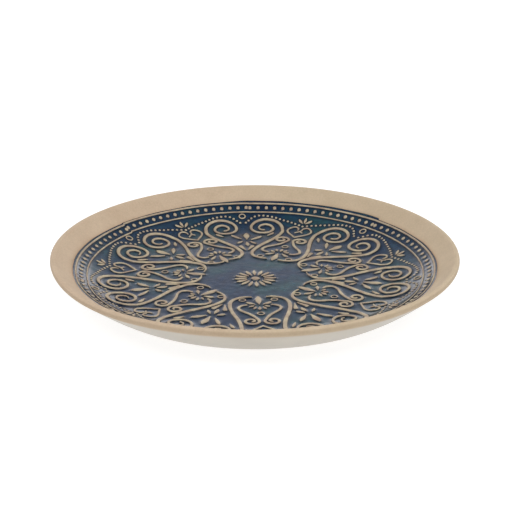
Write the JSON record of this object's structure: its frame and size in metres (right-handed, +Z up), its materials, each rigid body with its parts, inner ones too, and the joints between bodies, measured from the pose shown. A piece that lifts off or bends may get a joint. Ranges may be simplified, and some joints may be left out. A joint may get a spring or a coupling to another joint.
{
  "type": "decorated dinner plate",
  "caption": "Round shallow stoneware plate: blue glazed well with raised tan scrolls, hearts and a rosette, bare sandy rim, off-white outside and a turned foot ring.",
  "frame": {"origin": "centre of the foot ring, on the plane that the plate stands on", "axes": "+Z up along the turning axis, out of the well; one pair of scrolls lies close to +Y"},
  "size_m": [0.27, 0.27, 0.027],
  "materials": {
    "bare_clay": "matte unglazed stoneware",
    "rim_slip": "matte sandy tan slip",
    "relief_slip": "matte tan trailed slip",
    "blue_glaze": "glossy navy glaze",
    "white_glaze": "soft off-white glaze"
  },
  "bodies": {
    "root": {"clay_body": "bare_clay", "well_glaze": "blue_glaze", "rim_slip": "rim_slip", "wall_glaze": "white_glaze", "base_glaze": "white_glaze", "outer_ring_line": "relief_slip", "inner_ring_line": "relief_slip", "scroll_1_right": "relief_slip", "scroll_1_left": "relief_slip", "scroll_2_right": "relief_slip", "scroll_2_left": "relief_slip", "scroll_3_right": "relief_slip", "scroll_3_left": "relief_slip", "scroll_4_right": "relief_slip", "scroll_4_left": "relief_slip", "scroll_5_right": "relief_slip", "scroll_5_left": "relief_slip", "scroll_6_right": "relief_slip", "scroll_6_left": "relief_slip", "scroll_7_right": "relief_slip", "scroll_7_left": "relief_slip", "lyre_1_right": "relief_slip", "lyre_1_left": "relief_slip", "lyre_2_right": "relief_slip", "lyre_2_left": "relief_slip", "lyre_3_right": "relief_slip", "lyre_3_left": "relief_slip", "lyre_4_right": "relief_slip", "lyre_4_left": "relief_slip", "lyre_5_right": "relief_slip", "lyre_5_left": "relief_slip", "lyre_6_right": "relief_slip", "lyre_6_left": "relief_slip", "lyre_7_right": "relief_slip", "lyre_7_left": "relief_slip", "heart_1": "relief_slip", "heart_2": "relief_slip", "heart_3": "relief_slip", "heart_4": "relief_slip", "heart_5": "relief_slip", "heart_6": "relief_slip", "heart_7": "relief_slip", "rosette_boss": "relief_slip", "rosette_petal_01": "relief_slip", "rosette_petal_02": "relief_slip", "rosette_petal_03": "relief_slip", "rosette_petal_04": "relief_slip", "rosette_petal_05": "relief_slip", "rosette_petal_06": "relief_slip", "rosette_petal_07": "relief_slip", "rosette_petal_08": "relief_slip", "rosette_petal_09": "relief_slip", "rosette_petal_10": "relief_slip", "rosette_petal_11": "relief_slip", "rosette_petal_12": "relief_slip", "rosette_petal_13": "relief_slip", "rosette_petal_14": "relief_slip", "rosette_petal_15": "relief_slip", "rosette_petal_16": "relief_slip"}
  },
  "joints": []
}
